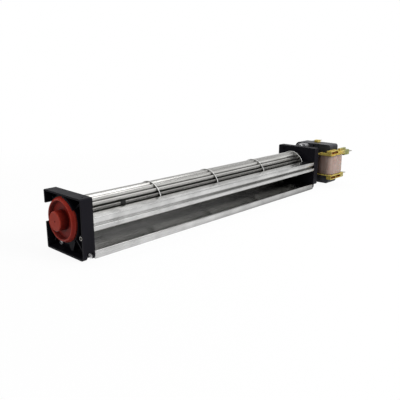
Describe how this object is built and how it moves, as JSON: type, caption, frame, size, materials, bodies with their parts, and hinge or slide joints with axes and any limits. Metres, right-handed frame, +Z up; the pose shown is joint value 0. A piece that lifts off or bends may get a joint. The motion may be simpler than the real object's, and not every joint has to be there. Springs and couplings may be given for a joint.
{
  "type": "cross flow fan",
  "caption": "Long tangential blower: slotted-disc impeller in a bent sheet scroll between two moulded end plates, turned by a shaded-pole motor, with an outlet along its front.",
  "frame": {"origin": "on the plane the fan stands on, under the bearing end plate's outer rim, at the middle of its depth", "axes": "+X along the impeller from the bearing end to the motor, -Y out of the air outlet, +Z up"},
  "size_m": [0.5555, 0.0895, 0.0743],
  "materials": {
    "black_plastic": "fine moulded texture",
    "sheet_metal": "zinc-coated, brushed lengthwise",
    "blade_metal": "rolled, satin",
    "disc_metal": "punched, satin",
    "red_silicone": "satin moulded silicone",
    "bearing_bronze": "sintered",
    "insert_brass": "turned and plated",
    "screw_steel": "zinc plated",
    "shaft_steel": "ground",
    "hub_metal": "turned",
    "washer_plastic": "smooth",
    "clip_steel": "blued spring steel",
    "lamination_steel": "dark varnish",
    "cast_bracket": "as cast",
    "bobbin_plastic": "moulded, slightly clear",
    "winding_copper": "enamelled wire",
    "winding_tape": "glossy wrap",
    "tab_metal": "tinned",
    "felt": "oiled felt"
  },
  "bodies": {
    "housing": {"bearing_end_plate": "black_plastic", "motor_end_plate": "black_plastic", "scroll_housing": "sheet_metal", "stabilizer": "sheet_metal", "bearing_bush": "red_silicone", "sleeve_bearing": "bearing_bronze", "front_motor_bearing": "bearing_bronze", "rear_motor_bearing": "bearing_bronze", "threaded_insert": "insert_brass", "bearing_end_screws": "screw_steel", "motor_end_screws": "screw_steel", "motor_mount_screws": "screw_steel", "bracket_bolts": "screw_steel", "bracket_nuts": "screw_steel", "thrust_washer": "washer_plastic", "stator_stack": "lamination_steel", "coil_core": "lamination_steel", "front_bracket": "cast_bracket", "rear_bracket": "cast_bracket", "coil_bobbin": "bobbin_plastic", "terminal_holder": "bobbin_plastic", "coil_winding": "winding_copper", "shading_rings": "winding_copper", "winding_tape": "winding_tape", "terminal_tabs": "tab_metal", "earth_tab": "tab_metal", "front_oil_felt": "felt", "rear_oil_felt": "felt"},
    "impeller": {"blade_01": "blade_metal", "blade_02": "blade_metal", "blade_03": "blade_metal", "blade_04": "blade_metal", "blade_05": "blade_metal", "blade_06": "blade_metal", "blade_07": "blade_metal", "blade_08": "blade_metal", "blade_09": "blade_metal", "blade_10": "blade_metal", "blade_11": "blade_metal", "blade_12": "blade_metal", "blade_13": "blade_metal", "blade_14": "blade_metal", "blade_15": "blade_metal", "blade_16": "blade_metal", "blade_17": "blade_metal", "blade_18": "blade_metal", "blade_19": "blade_metal", "blade_20": "blade_metal", "bearing_end_disc": "disc_metal", "support_disc_1": "disc_metal", "support_disc_2": "disc_metal", "support_disc_3": "disc_metal", "motor_end_disc": "disc_metal", "stub_shaft": "shaft_steel", "balance_clip": "clip_steel", "drive_hub": "hub_metal", "hub_set_screw": "screw_steel", "motor_shaft": "shaft_steel", "rotor_core": "shaft_steel", "rotor_end_rings": "hub_metal"}
  },
  "joints": [
    {"name": "impeller_spin", "type": "hinge", "parent": "housing", "child": "impeller", "pos_m": [0.23, 0.004, 0.038], "axis": [-1, 0, 0], "continuous": true}
  ]
}
